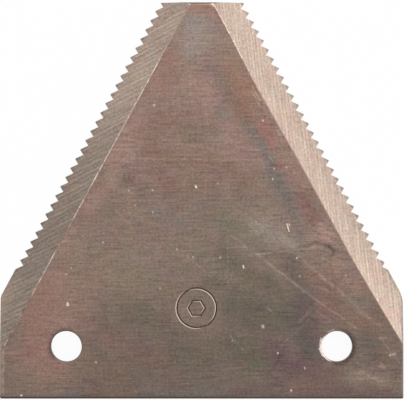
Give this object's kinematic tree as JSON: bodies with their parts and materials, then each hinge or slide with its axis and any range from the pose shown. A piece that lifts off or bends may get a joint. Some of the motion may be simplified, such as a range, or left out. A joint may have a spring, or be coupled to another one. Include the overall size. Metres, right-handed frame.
{
  "type": "mower sickle section",
  "caption": "Flat triangular steel knife section with a blunt tip, bevelled and under-serrated cutting edges and rivet holes along its base, for a reciprocating mower cutter bar.",
  "frame": {"origin": "midway between the rivet holes, on the flat underside", "axes": "+X along the knife back, +Y towards the blunt tip, +Z out of the bevelled face"},
  "size_m": [0.0756, 0.0744, 0.002],
  "materials": {
    "blade_steel": "rolled and tempered steel with a brown tarnish, ground bright on the bevels"
  },
  "bodies": {
    "root": {"sickle_section": "blade_steel"}
  },
  "joints": []
}
